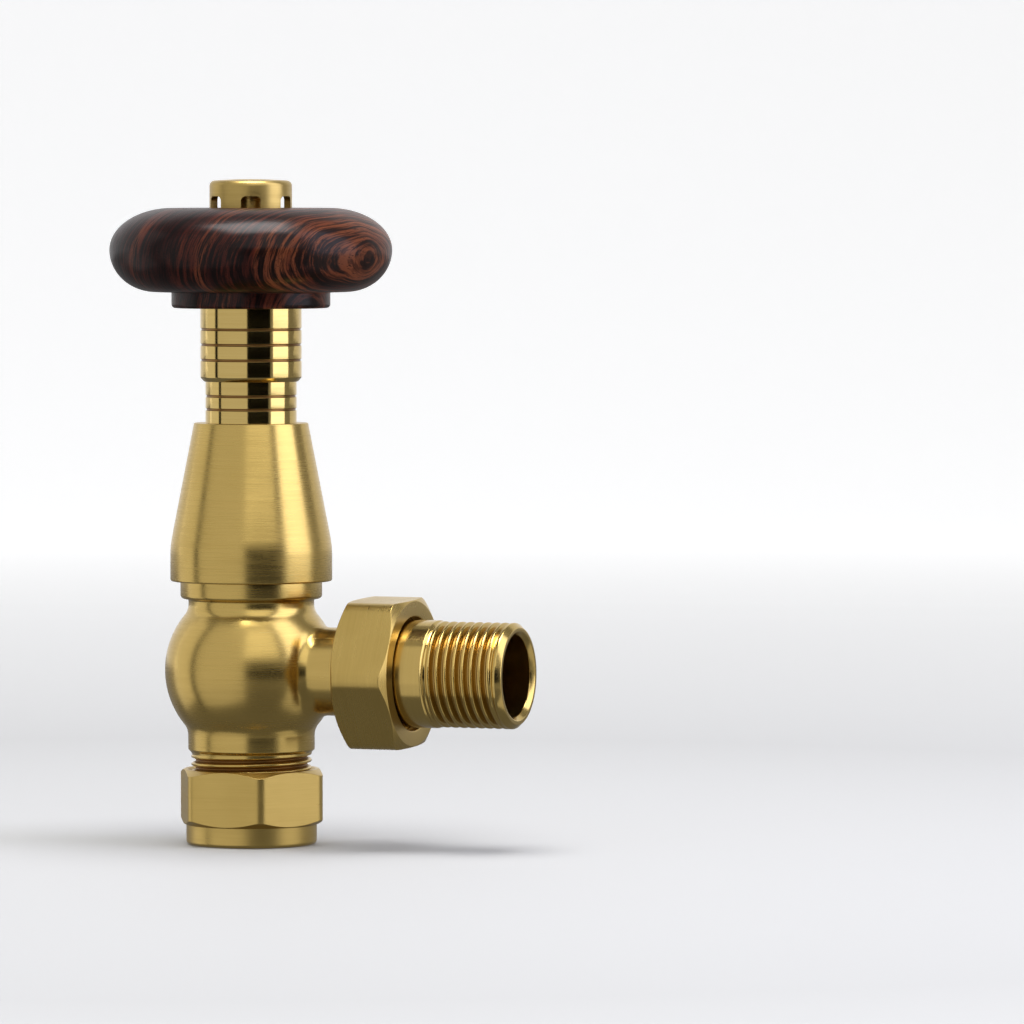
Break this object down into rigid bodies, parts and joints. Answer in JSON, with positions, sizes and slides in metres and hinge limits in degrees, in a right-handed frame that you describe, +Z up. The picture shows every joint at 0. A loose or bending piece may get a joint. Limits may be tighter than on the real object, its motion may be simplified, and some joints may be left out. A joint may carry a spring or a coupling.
{
  "type": "thermostatic angle stop valve",
  "caption": "Traditional angled radiator valve: globe body with a pipe compression end, union tail with radiator thread, tapered shroud, telescoping neck and wooden handwheel with slotted cap.",
  "frame": {"origin": "centre of the pipe mouth, in the lower face of the compression nut", "axes": "+Z up the pipe, stem and handwheel axis; +X along the outlet, towards the radiator"},
  "size_m": [0.0854, 0.0562, 0.1323],
  "materials": {
    "satin_brass": "satin brushed, lacquered",
    "turned_brass": "fine turned, close to polished",
    "inner_brass": "plain machined",
    "stainless_steel": "bright drawn",
    "capsule_aluminium": "drawn",
    "seal_rubber": "moulded, slightly greased",
    "rosewood": "turned and satin lacquered",
    "white_plastic": "moulded"
  },
  "bodies": {
    "valve": {"valve_body": "satin_brass", "bonnet": "inner_brass", "bonnet_seal": "seal_rubber", "gland_nut": "inner_brass", "stem_seal_rings": "seal_rubber", "return_spring": "stainless_steel", "sleeve_lock_nut": "inner_brass", "guide_sleeve": "turned_brass", "travel_stop_ring": "stainless_steel", "cone_shroud": "satin_brass", "shroud_grip_ring": "seal_rubber"},
    "stem": {"valve_stem": "stainless_steel", "disc_holder": "inner_brass", "valve_disc": "seal_rubber", "disc_clip": "stainless_steel"},
    "sensor": {"sensor_capsule": "capsule_aluminium", "sensor_cradle": "white_plastic", "push_rod": "stainless_steel", "overtravel_spring": "stainless_steel"},
    "wheel": {"handwheel": "rosewood", "upper_sleeve": "turned_brass", "lead_nut": "inner_brass", "wheel_bush": "inner_brass", "bush_grub_screws": "stainless_steel", "spring_plate": "stainless_steel", "vent_cap": "turned_brass"},
    "tail": {"union_tail": "satin_brass", "tail_seal_ring": "seal_rubber"},
    "union_ring": {"union_nut": "satin_brass"},
    "olive": {"compression_olive": "inner_brass"},
    "pipe_ring": {"compression_nut": "satin_brass"}
  },
  "joints": [
    {"name": "head_lift", "type": "slide", "parent": "valve", "child": "sensor", "axis": [0, 0, 1], "range_m": [-0.0053, 0]},
    {"name": "handwheel_turn", "type": "hinge", "parent": "sensor", "child": "wheel", "pos_m": [0, 0, 0.118], "axis": [0, 0, 1], "range_deg": [-720, 0]},
    {"name": "stem_lift", "type": "slide", "parent": "valve", "child": "stem", "axis": [0, 0, 1], "range_m": [-0.0053, 0], "deforming": ["return_spring"]},
    {"name": "union_release", "type": "slide", "parent": "valve", "child": "tail", "axis": [1, 0, 0], "range_m": [0, 0.00907]},
    {"name": "union_nut_turn", "type": "hinge", "parent": "tail", "child": "union_ring", "pos_m": [0.0291, 0, 0.0347], "axis": [1, 0, 0], "range_deg": [0, 1800]},
    {"name": "compression_release", "type": "slide", "parent": "valve", "child": "olive", "axis": [0, 0, -1], "range_m": [0, 0.009]},
    {"name": "compression_nut_turn", "type": "hinge", "parent": "olive", "child": "pipe_ring", "pos_m": [0, 0, 0.0075], "axis": [0, 0, -1], "range_deg": [0, 2160]}
  ],
  "couplings": [
    {"joint": "head_lift", "follows": "handwheel_turn", "m_per_rad": 0.00042176},
    {"joint": "stem_lift", "follows": "handwheel_turn", "m_per_rad": 0.00042176},
    {"joint": "union_release", "follows": "union_nut_turn", "m_per_rad": 0.00028871},
    {"joint": "compression_release", "follows": "compression_nut_turn", "m_per_rad": 0.00023873}
  ]
}
